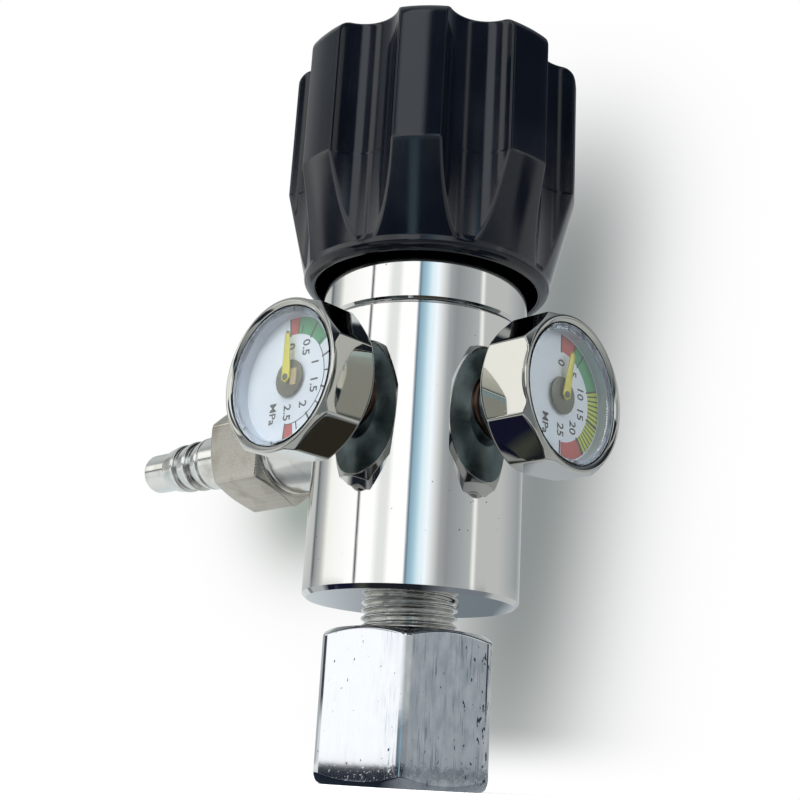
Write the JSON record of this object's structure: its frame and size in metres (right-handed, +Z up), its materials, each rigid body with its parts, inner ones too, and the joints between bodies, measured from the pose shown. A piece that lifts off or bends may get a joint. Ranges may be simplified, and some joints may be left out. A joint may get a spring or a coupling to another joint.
{
  "type": "gas cylinder pressure regulator",
  "caption": "Round chromed pressure regulator with a lobed black hand knob, small dial gauges, a ribbed hose outlet and a hexagonal swivel inlet nut.",
  "frame": {"origin": "on the main axis at the mouth of the inlet nut", "axes": "+Z up along the main axis towards the knob, -Y towards the viewer between the two gauges, +X to the right"},
  "size_m": [0.0972, 0.0972, 0.1416],
  "materials": {
    "chrome": "bright chrome plate over brass",
    "satin_nickel": "satin nickel plate over brass",
    "steel": "turned steel",
    "spring_steel": "drawn spring wire",
    "dark_steel": "black oxide",
    "brass": "machined brass",
    "copper": "soft copper",
    "bronze": "sintered bronze",
    "rubber": "moulded rubber",
    "white_plastic": "turned plastic",
    "grey_plastic": "flat washer",
    "black_knob": "moulded, semi-gloss, fine grain",
    "dial_white": "printed card white",
    "spacer_grey": "moulded ring",
    "needle_yellow": "yellow lacquer",
    "hub_olive": "olive lacquer",
    "lens_clear": "clear flat lens"
  },
  "bodies": {
    "regulator": {"body": "chrome", "inlet_nipple": "satin_nickel", "inlet_filter": "bronze", "nipple_seal": "copper", "inlet_gasket": "grey_plastic", "nozzle": "brass", "nozzle_oring": "rubber", "bonnet": "chrome", "bonnet_oring": "rubber", "hose_tail": "satin_nickel", "outlet_washer": "copper", "low_case": "chrome", "low_washer": "copper", "low_coil": "brass", "low_dial": "dial_white", "low_spacer": "spacer_grey", "low_lens": "lens_clear", "high_case": "chrome", "high_washer": "copper", "high_coil": "brass", "high_dial": "dial_white", "high_spacer": "spacer_grey", "high_lens": "lens_clear"},
    "inlet_nut": {"swivel_nut": "chrome"},
    "sensing_piston": {"piston": "brass", "piston_oring": "rubber", "range_spring": "spring_steel"},
    "valve": {"poppet": "steel", "poppet_disc": "white_plastic", "poppet_spring": "spring_steel"},
    "button": {"spring_button": "steel", "thrust_ball": "chrome"},
    "hand_knob": {"knob": "black_knob", "adjusting_screw": "steel", "knob_insert": "brass", "knob_washer": "chrome", "knob_bolt": "dark_steel"},
    "low_pointer": {"low_needle": "needle_yellow", "low_hub": "hub_olive"},
    "high_pointer": {"high_needle": "needle_yellow", "high_hub": "hub_olive"}
  },
  "joints": [
    {"name": "nut_spin", "type": "hinge", "parent": "regulator", "child": "inlet_nut", "pos_m": [0, 0, 0.018], "axis": [0, 0, 1], "continuous": true},
    {"name": "knob_turn", "type": "hinge", "parent": "button", "child": "hand_knob", "pos_m": [0, 0, 0.108], "axis": [0, 0, -1], "range_deg": [0, 1080]},
    {"name": "button_travel", "type": "slide", "parent": "regulator", "child": "button", "axis": [0, 0, -1], "range_m": [0, 0.0045], "deforming": ["range_spring"]},
    {"name": "piston_travel", "type": "slide", "parent": "regulator", "child": "sensing_piston", "axis": [0, 0, 1], "range_m": [-0.0006, 0]},
    {"name": "poppet_travel", "type": "slide", "parent": "regulator", "child": "valve", "axis": [0, 0, 1], "range_m": [-0.0006, 0], "deforming": ["poppet_spring"]},
    {"name": "low_pointer_turn", "type": "hinge", "parent": "regulator", "child": "low_pointer", "pos_m": [-0.02376, -0.02376, 0.067], "axis": [0.7071, 0.7071, 0], "range_deg": [0, 180]},
    {"name": "high_pointer_turn", "type": "hinge", "parent": "regulator", "child": "high_pointer", "pos_m": [0.02376, -0.02376, 0.067], "axis": [-0.7071, 0.7071, 0], "range_deg": [-12, 168]}
  ],
  "couplings": [
    {"joint": "button_travel", "follows": "knob_turn", "m_per_rad": 0.00023873},
    {"joint": "poppet_travel", "follows": "piston_travel", "ratio": 1},
    {"joint": "low_pointer_turn", "follows": "knob_turn", "ratio": 0.16667}
  ]
}
